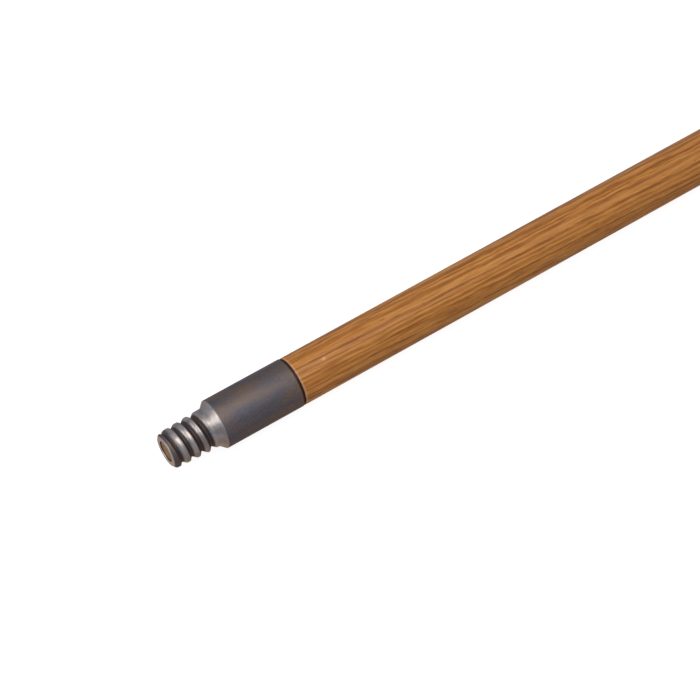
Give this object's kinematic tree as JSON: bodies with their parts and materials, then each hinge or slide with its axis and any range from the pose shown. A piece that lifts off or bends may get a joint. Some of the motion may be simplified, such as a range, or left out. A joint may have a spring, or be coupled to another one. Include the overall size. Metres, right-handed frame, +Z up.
{
  "type": "roller extension pole",
  "caption": "Straight round wooden pole with a hollow steel ferrule whose coarse-threaded tip screws into a paint roller frame or brush handle.",
  "frame": {"origin": "on the pole's axis at the seat, where the collar behind the thread meets the conical shoulder", "axes": "+X along the pole from the threaded tip to the butt, +Z up, +Y the side where the lock pin's head shows"},
  "size_m": [1.2192, 0.0242, 0.0242],
  "materials": {
    "lacquered_wood": "clear amber lacquer, satin to gloss",
    "ferrule_steel": "dark mill scale on the sleeve, bright as turned on the shoulder, collar and thread",
    "pin_steel": "ground flush"
  },
  "bodies": {
    "root": {"wood_pole": "lacquered_wood", "threaded_ferrule": "ferrule_steel", "lock_pin": "pin_steel"}
  },
  "joints": []
}
